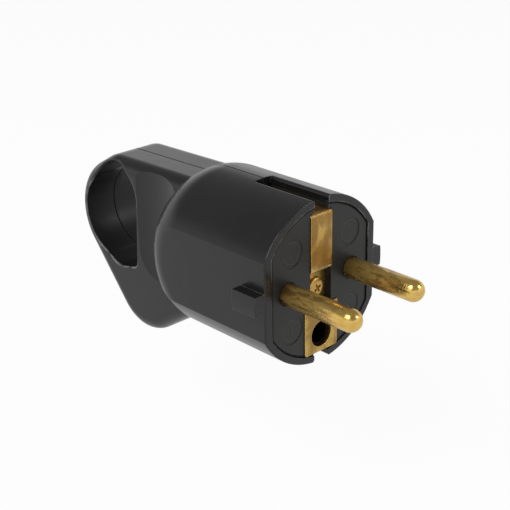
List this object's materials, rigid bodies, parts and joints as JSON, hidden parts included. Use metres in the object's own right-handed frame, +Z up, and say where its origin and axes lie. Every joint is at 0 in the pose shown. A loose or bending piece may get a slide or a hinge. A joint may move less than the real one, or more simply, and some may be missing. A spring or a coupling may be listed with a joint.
{
  "type": "schuko plug",
  "caption": "Black two-pole earthed mains plug with round brass pins, side earth contacts, a socket for an earth pin and a finger ring at the back.",
  "frame": {"origin": "centre of the pin face, midway between the two line pins, in the plane of the shell's front rim", "axes": "the pins point along -Y, +X is to the right when the pin face is looked at, +Z is up, away from the earth socket"},
  "size_m": [0.038, 0.0931, 0.0449],
  "materials": {
    "shell": "black moulded thermoplastic, semi-gloss",
    "carrier": "dark grey moulded thermoset, satin",
    "pin_brass": "drawn brass, lightly tarnished and scratched",
    "strip_brass": "rolled brass strip, satin",
    "screw_brass": "brass, turned",
    "screw_steel": "zinc plated steel",
    "clamp_plastic": "grey moulded fibre board"
  },
  "bodies": {
    "root": {"shell_left": "shell", "shell_right": "shell", "pin_carrier": "carrier", "pin_retainer": "carrier", "line_pin_left": "pin_brass", "line_pin_right": "pin_brass", "earth_strip": "strip_brass", "earth_socket_sleeve": "strip_brass", "earth_terminal": "strip_brass", "face_screw": "screw_brass", "earth_terminal_screw": "screw_steel", "terminal_screw_left": "screw_steel", "terminal_screw_right": "screw_steel", "cord_clamp_bridge": "clamp_plastic", "cord_clamp_screw_upper": "screw_steel", "cord_clamp_screw_lower": "screw_steel", "shell_screw_upper": "screw_steel", "shell_screw_lower": "screw_steel", "shell_nut_upper": "screw_steel", "shell_nut_lower": "screw_steel"}
  },
  "joints": []
}
